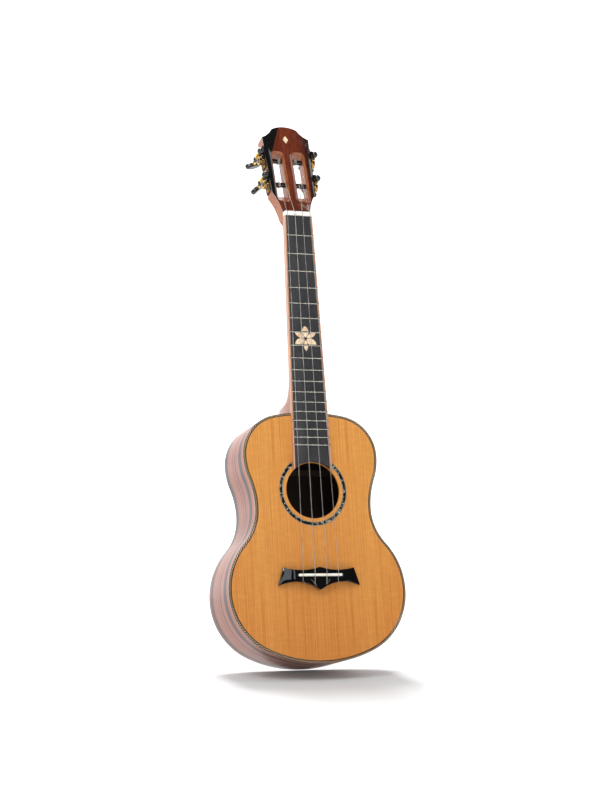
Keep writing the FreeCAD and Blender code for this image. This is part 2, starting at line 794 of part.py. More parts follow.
def tuner_bores(tuner):
    """Holes in the headstock for one roller and its plate's screws."""
    level = tuner_rows[tuner][1]
    play = 4 * running_clearance
    bore = rod(V(1, 0, 0), V(-roller_reach(level) - play, 0, 0), roller_radius + running_clearance)
    pilots = [rod(V(-screw_length, 0, 0) + place, V(1, 0, 0) + place, screw_radius)
              for place in screw_places()]
    return [seat_tuner(tool, tuner) for tool in [bore] + pilots]


def plate_shape():
    """Side plate with the two ears that hold the worm."""
    half = plate_width / 2
    plate = block(0, plate_thickness, -half, half, -plate_below, plate_above)
    web0, web1 = worm_distance - ear_web_length / 2, worm_distance + ear_web_length / 2
    inner = worm_lead * worm_turns / 2 + ear_inner_gap
    axis_point = V(gear_middle, 0, worm_distance)
    pieces = [plate]
    for sign, radius in ((-1, front_ear_radius), (1, back_ear_radius)):
        ball = Part.makeSphere(radius, axis_point + Y_AXIS * sign * ear_offset)
        y0, y1 = sorted((sign * inner, sign * (ear_offset + 0.55 * radius)))
        web = block(0, gear_middle, y0, y1, web0, web1)
        pieces += [ball, web]
    body = fused(pieces)
    clear = worm_pitch_radius + gear_module + 1.0
    thread_room = Part.makeCylinder(clear, 2 * inner, axis_point - Y_AXIS * inner, Y_AXIS)
    body = body.cut(thread_room).cut(
        block(0 + plate_thickness, far, -inner, inner, -plate_below, plate_above))
    bearing = rod(axis_point - Y_AXIS * (ear_offset + 1), axis_point + Y_AXIS * 2 * ear_offset,
                  worm_shaft_radius + running_clearance)
    hub = rod(V(-1, 0, 0), V(plate_thickness + 1, 0, 0), roller_shaft_radius + running_clearance)
    body = body.cut(bearing).cut(hub)
    for place in screw_places():
        body = body.cut(rod(V(-1, 0, 0) + place, V(plate_thickness + 1, 0, 0) + place, screw_radius))
    return body.cut(block(-far / 4, 0, -half, half, -far / 4, far / 4))


def plate_screw(place):
    """Round-headed screw that holds a plate to the headstock."""
    shank = rod(V(-screw_length + 0.2, 0, 0) + place, V(plate_thickness, 0, 0) + place, screw_radius)
    base = V(plate_thickness, 0, 0) + place
    head = Part.makeCylinder(screw_head_radius, screw_head_height, base, X_AXIS)
    slit = block(plate_thickness + 0.6 * screw_head_height, far, -far, far, -0.3, 0.3)
    return fused([shank, head]).cut(placed(slit, FreeCAD.Placement(place, FreeCAD.Rotation())))


def roller_shape(tuner):
    """Roller with its string hole, and the shaft that carries the gear."""
    level = tuner_rows[tuner][1]
    shaft_end = gear_far - gear_recess_depth
    drum = rod(V(-roller_reach(level), 0, 0), V(-running_clearance * 2, 0, 0), roller_radius)
    shaft = rod(V(-roller_radius, 0, 0), V(shaft_end, 0, 0), roller_shaft_radius)
    string_radius = string_rows[tuner][1] / 2
    x = winding_start(tuner) - (winding_turns + 1) * (2 * string_radius + winding_gap)
    hole = rod(V(x, -far / 10, 0), V(x, far / 10, 0), string_radius + 0.25)
    thread = rod(V(plate_thickness, 0, 0), V(far / 10, 0, 0), gear_screw_radius)
    return fused([drum, shaft]).cut(hole).cut(thread)


def gear_shape():
    """Gear wheel with a gap towards the worm, a hub and a shallow recess for its screw."""
    slope = math.tan(math.radians(pressure_angle))
    tip_radius = gear_pitch_radius + gear_module
    root_radius = gear_pitch_radius - gear_module - root_gap
    half_pitch = worm_lead / 4 - gear_backlash
    points = []
    for tooth in range(gear_teeth):
        middle = 2 * math.pi * (tooth + 0.5) / gear_teeth
        flanks = ((root_radius, -1), (tip_radius, -1), (tip_radius, 1), (root_radius, 1))
        for radius, side in flanks:
            half = half_pitch - (radius - gear_pitch_radius) * slope
            angle = middle + side * half / radius
            points.append(V(gear_near, radius * math.sin(angle), radius * math.cos(angle)))
    teeth = polygon_prism(points, V(gear_face, 0, 0))
    hub = rod(V(plate_thickness + 2 * running_clearance, 0, 0), V(gear_near, 0, 0), gear_hub_radius)
    gear = fused([teeth, hub])
    recess = rod(V(gear_far - gear_recess_depth, 0, 0), V(gear_far + 1, 0, 0), gear_recess_radius)
    bore = rod(V(0, 0, 0), V(gear_far + 1, 0, 0), roller_shaft_radius)
    return gear.cut(recess).cut(bore)


def gear_screw_shape():
    """Slotted screw that holds the gear on its roller."""
    seat = gear_far - gear_recess_depth
    head = rod(V(seat, 0, 0), V(seat + gear_screw_head_height, 0, 0), gear_screw_head_radius)
    shank = rod(V(plate_thickness + 0.5, 0, 0), V(seat, 0, 0), gear_screw_radius)
    slit = block(seat + gear_screw_head_height / 2, far, -far, far,
                 -gear_screw_slot / 2, gear_screw_slot / 2)
    return fused([head, shank]).cut(slit)


def worm_shape():
    """Worm, its shaft through both ears, and the collar below the button."""
    slope = math.tan(math.radians(pressure_angle))
    outer = worm_pitch_radius + gear_module
    root = worm_pitch_radius - gear_module - root_gap
    buried = root - 0.3
    half_outer = worm_lead / 4 - worm_backlash - gear_module * slope
    half_buried = half_outer + (outer - buried) * slope
    length = worm_lead * worm_turns
    helix = Part.makeLongHelix(worm_lead, length, worm_pitch_radius)
    profile = Part.makePolygon([
        V(buried, 0, -half_buried), V(outer, 0, -half_outer), V(outer, 0, half_outer),
        V(buried, 0, half_buried), V(buried, 0, -half_buried),
    ])
    thread = Part.Wire(helix.Edges).makePipeShell([profile], True, True)
    core_length = length + 2 * ear_inner_gap
    core = Part.makeCylinder(root, core_length, V(0, 0, -ear_inner_gap))
    ends = block(-far, far, -far, far, -ear_inner_gap / 2, length + ear_inner_gap / 2)
    worm = core.fuse(thread.common(ends))
    turn = FreeCAD.Rotation(V(0, 0, -1), V(-1, 0, 0), V(0, 1, 0), "ZXY")
    axis_point = V(gear_middle, 0, worm_distance)
    worm = placed(worm, FreeCAD.Placement(axis_point - Y_AXIS * length / 2, turn))
    shaft = rod(axis_point - Y_AXIS * (ear_offset + 0.8), axis_point + Y_AXIS * button_base(button_grip),
                worm_shaft_radius)
    collar = rod(axis_point + Y_AXIS * button_base(-collar_length), axis_point + Y_AXIS * button_base(0),
                 collar_radius)
    return fused([worm, shaft, collar])


def button_base(beyond):
    """Distance behind the roller's axis of the button's foot, plus a further length."""
    return ear_offset + back_ear_radius + 2 * running_clearance + collar_length + beyond


def button_shape(tuner):
    """Oval finger button on the worm's shaft."""
    flat_foot = 0.4
    half_width, half_height = button_width / 2, button_height / 2
    ring = Part.Ellipse(V(half_width, 0, 0), V(0, half_height + flat_foot, 0), V(0, 0, 0)).toShape()
    oval = Part.Face(Part.Wire(ring)).extrude(V(0, 0, button_thickness))
    oval = oval.makeFillet(button_edge_radius, [edge for edge in oval.Edges if edge.Length > button_width])
    oval.translate(V(0, 0, -button_thickness / 2))
    oval = oval.cut(block(-far, far, -far, -half_height, -far, far))
    oval = placed(oval, FreeCAD.Placement(V(0, 0, 0), FreeCAD.Rotation(Y_AXIS, button_rest_angles[tuner])))
    centre = V(gear_middle, button_base(button_height / 2), worm_distance)
    oval.translate(centre)
    foot = V(gear_middle, button_base(0), worm_distance)
    return oval.cut(rod(foot - Y_AXIS, foot + Y_AXIS * button_grip, worm_shaft_radius))


def make_tuners():
    """Four geared tuners, mirrored between the sides."""
    plate, gear, gear_screw, worm = plate_shape(), gear_shape(), gear_screw_shape(), worm_shape()
    screws = [plate_screw(place) for place in screw_places()]
    plate_screws = []
    for tuner, (name, _, _) in enumerate(tuner_rows):
        export("tuner_plate_" + name, seat_tuner(plate, tuner))
        export("roller_" + name, seat_tuner(roller_shape(tuner), tuner))
        export("gear_" + name, seat_tuner(gear, tuner))
        export("gear_screw_" + name, seat_tuner(gear_screw, tuner))
        export("worm_" + name, seat_tuner(worm, tuner))
        export("button_" + name, seat_tuner(button_shape(tuner), tuner))
        plate_screws += [seat_tuner(screw, tuner) for screw in screws]
    export("tuner_screws", Part.makeCompound(plate_screws))


# ---- strings ----------------------------------------------------------------
def string_points(index):
    """Route of a string: anchor, anchor's mouth, saddle, nut, and where it meets its roller."""
    diameter, anchor = string_rows[index][1:]
    radius = diameter / 2
    place = index - (len(string_rows) - 1) / 2
    x_saddle, x_nut = place * string_spacing_saddle, place * string_spacing_nut
    mouth = V(x_saddle, -bridge_thickness, saddle_z - anchor)
    nut = V(x_nut, -nut_slot_height - radius, nut_z + nut_thickness / 2)
    level, side = tuner_rows[index][1:]
    reach = roller_radius + winding_clearance + radius
    near = tuner_place(level).inverse().multVec(V(nut.x * side, nut.y, nut.z))
    distance2 = near.y ** 2 + near.z ** 2
    along = reach ** 2 / distance2
    across = reach * math.sqrt(distance2 - reach ** 2) / distance2
    touch = V(winding_start(index), along * near.y + across * near.z, along * near.z - across * near.y)
    meet = tuner_place(level).multVec(touch)
    route = [mouth + Y_AXIS * anchor_depth, mouth,
             V(x_saddle, -saddle_top - radius - string_clearance, saddle_z), nut,
             V(meet.x * side, meet.y, meet.z)]
    return route, touch


def string_pieces(route, radius):
    """Straight runs along a route, and a slightly larger ball at each bend and at the end."""
    runs = [rod(start, end, radius) for start, end in zip(route, route[1:])]
    return runs + [Part.makeSphere(ball_growth * radius, point) for point in route[1:]]


def nut_groove(index, route):
    """Groove in the nut for one string, open at the top, with a floor that follows the string."""
    radius = string_rows[index][1] / 2
    half = radius + groove_clearance
    x = route[3].x
    floor = []
    for start, end, z in ((2, 3, nut_z - 1), (2, 3, route[3].z), (3, 4, neck_top_z + 1)):
        run = route[end] - route[start]
        y = route[start].y + run.y * (z - route[start].z) / run.z
        floor.append(V(x - half, y + radius / math.cos(math.atan2(run.y, run.z)) + string_clearance, z))
    top = -2 * nut_height
    outline = floor + [V(x - half, top, neck_top_z + 1), V(x - half, top, nut_z - 1)]
    return polygon_prism(outline, V(2 * half, 0, 0))


def string_winding(index, touch):
    """Turns round the roller, starting where the run touches it."""
    radius = string_rows[index][1] / 2
    pitch = 2 * radius + winding_gap
    reach = roller_radius + winding_clearance + radius
    out = V(0, touch.y, touch.z).normalize()
    inward = V(-1, 0, 0)
    helix = Part.makeLongHelix(pitch, pitch * winding_turns, reach)
    circle = Part.Wire(Part.makeCircle(radius, V(reach, 0, 0), Y_AXIS))
    coil = Part.Wire(helix.Edges).makePipeShell([circle], True, True)
    coil = coil.fuse(Part.makeSphere(ball_growth * radius, V(reach, 0, pitch * winding_turns)))
    turn = FreeCAD.Rotation(out, inward.cross(out), inward, "ZXY")
    return seat_tuner(placed(coil, FreeCAD.Placement(V(touch.x, 0, 0), turn)), index)


def make_strings():
    """Four strings; returns the grooves and the holes that they need."""
    grooves, holes = [], []
    for index, (name, diameter, _) in enumerate(string_rows):
        route, touch = string_points(index)
        run = fused(string_pieces(route, diameter / 2))
        export("string_" + name, fused([run, string_winding(index, touch)]))
        holes += string_pieces(route[:3], diameter / 2 + string_clearance)
        grooves.append(nut_groove(index, route))
    return grooves, holes


def main():
    """Build every sub-part."""
    os.makedirs("parts", exist_ok=True)
    export("soundboard", make_soundboard())
    export("back_plate", make_back())
    make_rosette()
    make_bindings()
    make_sides()
    make_linings()
    make_blocks()
    make_braces()
    make_neck()
    make_fretboard()
    grooves, holes = make_strings()
    make_nut(grooves)
    make_bridge(holes)
    make_tuners()


main()
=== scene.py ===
"""Looks of a tenor ukulele with a slotted headstock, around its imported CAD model."""

import math

import bmesh
import bpy
from mathutils import Matrix, Vector


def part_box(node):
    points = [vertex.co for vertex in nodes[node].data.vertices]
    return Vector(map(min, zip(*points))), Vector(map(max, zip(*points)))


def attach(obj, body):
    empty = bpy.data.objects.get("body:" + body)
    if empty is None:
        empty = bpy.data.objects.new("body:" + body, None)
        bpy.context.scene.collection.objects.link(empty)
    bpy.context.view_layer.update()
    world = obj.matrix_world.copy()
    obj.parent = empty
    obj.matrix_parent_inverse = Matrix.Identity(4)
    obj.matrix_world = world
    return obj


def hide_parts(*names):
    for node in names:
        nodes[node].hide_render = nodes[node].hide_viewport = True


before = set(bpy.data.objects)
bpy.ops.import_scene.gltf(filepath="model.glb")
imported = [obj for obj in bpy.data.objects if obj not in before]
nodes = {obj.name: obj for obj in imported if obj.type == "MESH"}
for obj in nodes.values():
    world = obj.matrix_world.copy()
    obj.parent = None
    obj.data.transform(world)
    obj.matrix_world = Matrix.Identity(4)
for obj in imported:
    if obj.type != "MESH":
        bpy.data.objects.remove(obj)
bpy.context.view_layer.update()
MM = 0.001
ROOT = "instrument"
TUNERS = ("bass_lower", "bass_upper", "treble_upper", "treble_lower")
STRINGS = "gcea"

# Lengths are in metres; the rope pattern's own are in millimetres.
WELD_GAP = 2e-6
EDGE_ROUND = 0.0003
EDGE_ANGLE = math.radians(35)
SIDE_DEPTH = 0.0765
ROSETTE_RADIUS = 0.0393
STRING_SPACING = 0.0144
CRISP_NODES = ("bridge", "nut", "saddle", "fretboard", "headstock_veneer")


# ---- measures read from the CAD model ------------------------------------------------
def middle(node):
    """Centre of a node's box."""
    low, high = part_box(node)
    return (low + high) / 2


hole_centre = middle("rosette_shell_ring")
bridge_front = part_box("bridge")[0].y
top_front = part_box("soundboard")[0].y
veneer_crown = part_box("headstock_veneer")[1].z
back_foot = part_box("back_plate")[1].y


# ---- material builder ----------------------------------------------------------------
def tint(red, green, blue):
    """Scene-linear colour from screen values of 0 to 255."""
    shares = (value / 255 for value in (red, green, blue))
    linear = (s / 12.92 if s <= 0.04045 else ((s + 0.055) / 1.055) ** 2.4 for s in shares)
    return tuple(linear) + (1.0,)


WHITE = tint(255, 255, 255)
PORE_STOPS = (0.3, tint(170, 140, 130)), (0.6, tint(255, 250, 246))


class Look:
    """A node material under construction, in the row frame's own coordinates."""

    def __init__(self, name, **fixed):
        self.material = bpy.data.materials.new(name)
        self.material.use_nodes = True
        self.tree = self.material.node_tree
        self.shader = self.tree.nodes["Principled BSDF"]
        for socket, value in fixed.items():
            self.shader.inputs[socket.replace("_", " ")].default_value = value
        self.place = self.tree.nodes.new("ShaderNodeTexCoord").outputs["Object"]

    def put(self, socket, value):
        """Link a socket into another, or set its fixed value."""
        if isinstance(value, bpy.types.NodeSocket):
            self.tree.links.new(value, socket)
        else:
            socket.default_value = value

    def add(self, kind, inputs=(), **settings):
        """A new shader node with its settings and inputs."""
        node = self.tree.nodes.new("ShaderNode" + kind)
        for key, value in settings.items():
            setattr(node, key, value)
        for key, value in dict(inputs).items():
            self.put(node.inputs[key], value)
        return node

    def math(self, operation, *values):
        node = self.add("Math", operation=operation)
        for socket, value in zip(node.inputs, values):
            self.put(socket, value)
        return node.outputs[0]

    def axis(self, name):
        return self.add("SeparateXYZ", {"Vector": self.place}).outputs[name]

    def noise(self, scale, detail=3.0, distortion=0.0, vector=None, roughness=0.5):
        """Noise whose scale may differ along the three axes."""
        place = self.add("Mapping", {"Vector": vector or self.place, "Scale": scale}).outputs[0]
        inputs = {"Vector": place, "Scale": 1.0, "Detail": detail,
                  "Distortion": distortion, "Roughness": roughness}
        return self.add("TexNoise", inputs).outputs["Fac"]

    def ramp(self, factor, *stops, interpolation="LINEAR"):
        """Colours between the stops; a stop's colour may also be one grey level."""
        node = self.add("ValToRGB", {"Fac": factor})
        ramp = node.color_ramp
        ramp.interpolation = interpolation
        while len(ramp.elements) < len(stops):
            ramp.elements.new(0.5)
        for element, (place, colour) in zip(ramp.elements, stops):
            element.position = place
            element.color = (colour,) * 3 + (1.0,) if isinstance(colour, float) else colour
        return node.outputs["Color"]

    def span(self, value, low, high, out_low=0.0, out_high=1.0):
        """The value's place between low and high, as one between out_low and out_high."""
        return self.add("MapRange", {"Value": value, "From Min": low, "From Max": high,
                                     "To Min": out_low, "To Max": out_high}).outputs[0]

    def mix(self, factor, first, second, blend="MIX"):
        node = self.add("Mix", data_type="RGBA", blend_type=blend)
        self.put(node.inputs["Factor"], factor)
        self.put(node.inputs[6], first)
        self.put(node.inputs[7], second)
        return node.outputs[2]

    def stained(self, share, colour, factor, *stops):
        """The colour multiplied, by a share, with a ramp over the factor."""
        return self.mix(share, colour, self.ramp(factor, *stops), "MULTIPLY")

    def combine(self, x, y, z):
        return self.add("CombineXYZ", {"X": x, "Y": y, "Z": z}).outputs[0]

    def finish(self, colour, roughness, height=None, depth=0.0001, strength=0.3):
        """Set the surface's colour, roughness and fine relief."""
        self.put(self.shader.inputs["Base Color"], colour)
        self.put(self.shader.inputs["Roughness"], roughness)
        if height is not None:
            bump = self.add("Bump", {"Height": height, "Distance": depth, "Strength": strength})
            self.put(self.shader.inputs["Normal"], bump.outputs[0])
        return self.material


# ---- woods -----------------------------------------------------------------------------
def cedar():
    """Fine straight grain, the same on both sides of the centre joint."""
    look = Look("cedar_top", Coat_Weight=0.3, Coat_Roughness=0.2, Specular_IOR_Level=0.35)
    mirrored = look.combine(look.math("ABSOLUTE", look.axis("X")), look.axis("Y"), look.axis("Z"))
    fine = look.noise((1300, 60, 9), 4.0, 0.1, mirrored, 0.62)
    lines = look.noise((520, 30, 5), 3.0, 0.1, mirrored, 0.6)
    silk = look.noise((90, 20, 240), 3.0, 0.4, mirrored)
    broad = look.noise((28, 20, 4), 2.0, 0.3, mirrored)
    colour = look.ramp(fine, (0.22, tint(188, 122, 50)), (0.5, tint(218, 153, 72)),
                       (0.8, tint(236, 176, 96)))
    colour = look.stained(0.24, colour, lines, (0.34, tint(196, 132, 70)), (0.5, WHITE))
    colour = look.stained(0.16, colour, silk, (0.35, tint(206, 170, 130)), (0.65, WHITE))
    colour = look.stained(0.5, colour, broad, (0.3, tint(248, 226, 196)),
                          (0.7, tint(255, 255, 250)))
    # Painted shade: the top is darkened towards its lower end.
    height = look.span(look.axis("Z"), 0.02, 0.27)
    painted_shade_low = look.math("MULTIPLY", look.math("SUBTRACT", 1.0, height), 0.45)
    colour = look.mix(painted_shade_low, colour, tint(236, 196, 150), "MULTIPLY")
    return look.finish(colour, look.span(fine, 0.2, 0.8, 0.36, 0.5), fine, 0.00008, 0.25)


PINK, WARM = tint(164, 106, 88), tint(172, 98, 66)
SLATE, HAIR = tint(66, 64, 72), tint(92, 66, 66)


def striped_sides():
    """Pinkish brown wood with slate stripes that run along the sides at steady depths."""
    look = Look("striped_sides", Coat_Weight=0.12, Coat_Roughness=0.14, Specular_IOR_Level=0.2)
    y, z = look.axis("Y"), look.axis("Z")
    sway = look.noise((3, 0, 9), 1.0)
    share = look.math("ADD", look.math("DIVIDE", y, SIDE_DEPTH),
                      look.math("MULTIPLY", look.math("SUBTRACT", sway, 0.5), 0.16))
    layers = look.ramp(share, (0.0, WARM), (0.13, WARM), (0.17, SLATE), (0.25, SLATE),
                       (0.285, PINK), (0.425, PINK), (0.44, HAIR), (0.458, HAIR), (0.475, PINK),
                       (0.56, PINK), (0.57, HAIR), (0.58, PINK), (0.79, PINK), (0.825, SLATE),
                       (0.90, SLATE), (0.935, WARM))
    layer = look.combine(share, 0.0, look.math("MULTIPLY", z, 2.0))
    thin = look.noise((38, 1, 1), 4.0, 0.0, layer, 0.65)
    pores = look.noise((900, 900, 60), 3.0)
    colour = look.stained(0.5, layers, thin, (0.36, tint(150, 130, 134)), (0.5, WHITE))
    colour = look.stained(0.3, colour, pores, *PORE_STOPS)
    return look.finish(colour, 0.3, pores, 0.00004, 0.12)


def striped_back():
    """The same wood over the back, in mirrored halves; its inner face is raw and dull, and
    painted dark as shade.
    """
    look = Look("striped_back", Coat_Weight=0.35, Coat_Roughness=0.14, Specular_IOR_Level=0.3)
    x, z = look.axis("X"), look.axis("Z")
    sway = look.noise((4, 0, 6), 1.0)
    place = look.math("ADD", look.math("ABSOLUTE", x), look.math("MULTIPLY", sway, 0.03))
    layer = look.combine(place, 0.0, look.math("MULTIPLY", z, 0.05))
    wide = look.noise((75, 1, 8), 2.0, 0.0, layer)
    thin = look.noise((420, 1, 30), 4.0, 0.0, layer, 0.6)
    pores = look.noise((900, 300, 35), 3.0)
    band = look.ramp(wide, (0.50, 0.0), (0.545, 1.0), (0.60, 1.0), (0.64, 0.1))
    colour = look.mix(band, PINK, SLATE)
    colour = look.stained(0.6, colour, thin, (0.36, tint(150, 128, 130)), (0.52, WHITE))
    colour = look.stained(0.3, colour, pores, *PORE_STOPS)
    normal = look.add("NewGeometry").outputs["Normal"]
    depthwise = look.add("SeparateXYZ", {"Vector": normal}).outputs["Y"]
    # Painted shade: the inner face is darkened to the shade inside the body, and made rougher as
    # raw wood.
    inner = look.math("LESS_THAN", depthwise, -0.5)
    colour = look.mix(inner, colour, tint(40, 26, 18))
    return look.finish(colour, look.span(inner, 0.0, 1.0, 0.3, 0.8), pores, 0.00004, 0.12)


def mahogany(name, dark, light):
    """Even wood with fine pores along it, between two colours."""
    look = Look(name, Coat_Weight=0.25, Coat_Roughness=0.16, Specular_IOR_Level=0.3)
    fine = look.noise((700, 500, 16), 4.0, 0.2, None, 0.6)
    broad = look.noise((60, 50, 6), 2.0, 0.4)
    colour = look.ramp(fine, (0.28, dark), (0.7, light))
    colour = look.stained(0.4, colour, broad, (0.3, tint(214, 190, 178)), (0.7, WHITE))
    return look.finish(colour, look.span(fine, 0.3, 0.7, 0.25, 0.39), fine, 0.00006, 0.2)


def veneer():
    """Glossy reddish brown face with a painted dark reflection along the bass edge and painted
    shade along the treble edge.
    """
    dark_reflection_top, dark_reflection_low, dark_reflection_slope, dark_reflection_sway = -0.0070, -0.0212, 0.36, 0.0008
    dark_reflection_soft = 0.0003
    shade_from, shade_to = 0.0185, 0.0250
    look = Look("headstock_veneer", Coat_Weight=0.8, Coat_Roughness=0.05)
    x, z = look.axis("X"), look.axis("Z")
    fine = look.noise((800, 300, 14), 4.0, 0.2, None, 0.65)
    flame = look.noise((70, 40, 14), 2.0, 0.8)
    colour = look.ramp(fine, (0.25, tint(74, 27, 12)), (0.5, tint(108, 44, 22)),
                       (0.8, tint(134, 60, 30)))
    colour = look.stained(0.5, colour, flame, (0.35, tint(150, 104, 84)), (0.65, WHITE))
    # Painted dark reflection: a near-black band along the bass edge, slanting in from the crown.
    drop = look.math("SUBTRACT", veneer_crown, z)
    slant = look.math("SUBTRACT", dark_reflection_top, look.math("MULTIPLY", drop, dark_reflection_slope))
    edge = look.math("MAXIMUM", slant, dark_reflection_low)
    sway = look.math("MULTIPLY", look.noise((0, 0, 60), 1.0), dark_reflection_sway)
    inside = look.math("SUBTRACT", look.math("ADD", edge, sway), x)
    colour = look.mix(look.span(inside, -dark_reflection_soft, dark_reflection_soft), colour, tint(9, 8, 9))
    # Painted shade: the treble edge darkens towards its rim.
    colour = look.mix(look.span(x, shade_from, shade_to, 0.0, 0.88), colour, tint(24, 8, 6))
    return look.finish(colour, 0.22, fine, 0.00003, 0.1)


def ebony():
    """Nearly black wood with a dull, open grain."""
    look = Look("ebony", Coat_Weight=0.15, Coat_Roughness=0.3, Specular_IOR_Level=0.5)
    fine = look.noise((1100, 400, 18), 4.0, 0.1, None, 0.7)
    cloud = look.noise((60, 60, 5), 2.0)
    colour = look.ramp(fine, (0.3, tint(30, 29, 31)), (0.7, tint(62, 61, 64)))
    colour = look.stained(0.35, colour, cloud, (0.35, tint(130, 126, 126)), (0.7, WHITE))
    return look.finish(colour, look.span(fine, 0.3, 0.7, 0.42, 0.55), fine, 0.00012, 0.3)


def shaded_raw_spruce():
    """Unfinished wood of the inside, painted dark with the shade it lies in, as it looks through
    the soundhole.
    """
    look = Look("shaded_raw_spruce")
    lines = look.noise((600, 600, 10), 3.0, 0.1)
    # Painted shade: both colours are darkened to the shade inside the body.
    colour = look.ramp(lines, (0.3, tint(46, 30, 17)), (0.7, tint(64, 44, 26)))
    return look.finish(colour, 0.75, lines, 0.0001, 0.3)


# ---- trim ------------------------------------------------------------------------------
def rope():
    """Two twisted strands, dark and pale, between dark edge lines, over a UV in millimetres."""
    pitch, slant, inner_line, outer_line = 3.3, 0.42, 0.42, 2.2
    look = Look("rope_binding", Coat_Weight=0.6, Coat_Roughness=0.1)
    uv = look.add("UVMap", uv_map="run").outputs[0]
    parts = look.add("SeparateXYZ", {"Vector": uv})
    along, across = parts.outputs["X"], parts.outputs["Y"]
    phase = look.math("FRACT", look.math("ADD", look.math("DIVIDE", along, pitch),
                                         look.math("MULTIPLY", across, slant)))
    strand = look.math("ABSOLUTE", look.math("SUBTRACT", phase, 0.5))
    colour = look.ramp(strand, (0.15, tint(226, 190, 142)), (0.175, tint(8, 6, 6)))
    grain = look.noise((900, 900, 900), 2.0)
    colour = look.stained(0.3, colour, grain, (0.3, tint(190, 170, 150)), (0.7, WHITE))
    line = look.math("MAXIMUM", look.math("LESS_THAN", across, inner_line),
                     look.math("GREATER_THAN", across, outer_line))
    colour = look.mix(line, colour, tint(16, 12, 12))
    return look.finish(colour, 0.28, strand, 0.0001, 0.15)


def polar(look):
    """Distance from the soundhole's centre, and turn round it."""
    x = look.axis("X")
    z = look.math("SUBTRACT", look.axis("Z"), hole_centre.z)
    squares = look.math("ADD", look.math("MULTIPLY", x, x), look.math("MULTIPLY", z, z))
    return look.math("SQRT", squares), look.math("ARCTAN2", z, x)


def shell():
    """Chips of pearly shell set in dark resin."""
    chips_per_turn, chips_per_metre, resin_gap = 26.0, 640.0, 0.07
    look = Look("shell", Coat_Weight=0.9, Coat_Roughness=0.05)
    radius, turn = polar(look)
    spot = look.combine(look.math("MULTIPLY", turn, chips_per_turn),
                        look.math("MULTIPLY", radius, chips_per_metre), 0.0)
    cells = look.add("TexVoronoi", {"Vector": spot, "Scale": 1.0}, feature="F1")
    chip = look.add("SeparateXYZ", {"Vector": cells.outputs["Color"]})
    colour = look.ramp(chip.outputs["X"], (0.0, tint(14, 15, 17)), (0.42, tint(36, 46, 44)),
                       (0.6, tint(92, 112, 100)), (0.74, tint(150, 160, 144)),
                       (0.85, tint(190, 168, 156)), (0.94, tint(232, 232, 216)),
                       interpolation="CONSTANT")
    wave = look.noise((500, 500, 500), 2.0, 1.5)
    colour = look.stained(0.45, colour, wave, (0.35, tint(90, 120, 130)),
                          (0.65, tint(255, 255, 250)))
    edges = look.add("TexVoronoi", {"Vector": spot, "Scale": 1.0}, feature="DISTANCE_TO_EDGE")
    resin = look.math("LESS_THAN", edges.outputs["Distance"], resin_gap)
    colour = look.mix(resin, colour, tint(10, 10, 12))
    return look.finish(colour, 0.18, wave, 0.00005, 0.1)


def ring_lines():
    """Dark, pale and dark lines on each side of the shell ring."""
    look = Look("rosette_lines", Coat_Weight=0.7, Coat_Roughness=0.08)
    radius = polar(look)[0]
    far = look.math("ABSOLUTE", look.math("SUBTRACT", radius, ROSETTE_RADIUS))
    colour = look.ramp(look.span(far, 0.0016, 0.0024), (0.0, tint(12, 11, 12)),
                       (0.30, tint(226, 214, 190)), (0.62, tint(14, 12, 12)),
                       interpolation="CONSTANT")
    grain = look.noise((900, 900, 900), 2.0)
    return look.finish(colour, look.span(grain, 0.3, 0.7, 0.2, 0.34), grain, 0.00003, 0.1)


def petal_inlay():
    """Warm, pale, swirling inlay."""
    look = Look("petal_inlay", Coat_Weight=0.6, Coat_Roughness=0.08)
    swirl = look.noise((260, 260, 170), 3.0, 1.6)
    colour = look.ramp(swirl, (0.3, tint(206, 160, 124)), (0.5, tint(236, 208, 172)),
                       (0.7, tint(250, 236, 212)))
    return look.finish(colour, 0.24, swirl, 0.00004, 0.1)


def bone():
    """Nearly white, faintly clouded, with a little light passing through."""
    look = Look("bone", Coat_Weight=0.3, Coat_Roughness=0.15, Subsurface_Weight=0.15,
                Subsurface_Scale=0.002)
    cloud = look.noise((120, 200, 400), 3.0, 0.5)
    colour = look.ramp(cloud, (0.3, tint(236, 230, 214)), (0.7, tint(252, 250, 244)))
    return look.finish(colour, look.span(cloud, 0.3, 0.7, 0.3, 0.42), cloud, 0.00003, 0.1)


def nylon():
    """Clear string, mostly see-through."""
    look = Look("nylon", Coat_Weight=0.3, Coat_Roughness=0.15, Transmission_Weight=0.7, IOR=1.45)
    cloud = look.noise((300, 300, 40), 2.0)
    colour = look.ramp(cloud, (0.3, tint(198, 196, 190)), (0.7, tint(224, 222, 216)))
    return look.finish(colour, look.span(cloud, 0.3, 0.7, 0.25, 0.38))


# ---- metals and plastics -----------------------------------------------------------------
def metal(name, dark, light, low, high):
    """Plated metal between two colours and two roughnesses, finely brushed."""
    look = Look(name, Metallic=1.0)
    cloud = look.noise((260, 260, 260), 4.0, 0.6)
    brush = look.noise((2600, 2600, 90), 2.0)
    colour = look.ramp(cloud, (0.3, dark), (0.7, light))
    return look.finish(colour, look.span(cloud, 0.3, 0.7, low, high), brush, 0.00002, 0.12)


def black(name, level, low, high, coat):
    """Glossy black, from a screen level up, between two roughnesses."""
    look = Look(name, Coat_Weight=coat, Coat_Roughness=0.04, Specular_IOR_Level=0.5)
    cloud = look.noise((240, 240, 240), 4.0, 0.4)
    colour = look.ramp(cloud, (0.3, tint(level, level, level + 1)),
                       (0.7, tint(level + 9, level + 9, level + 11)))
    return look.finish(colour, look.span(cloud, 0.3, 0.7, low, high), cloud, 0.00003, 0.08)


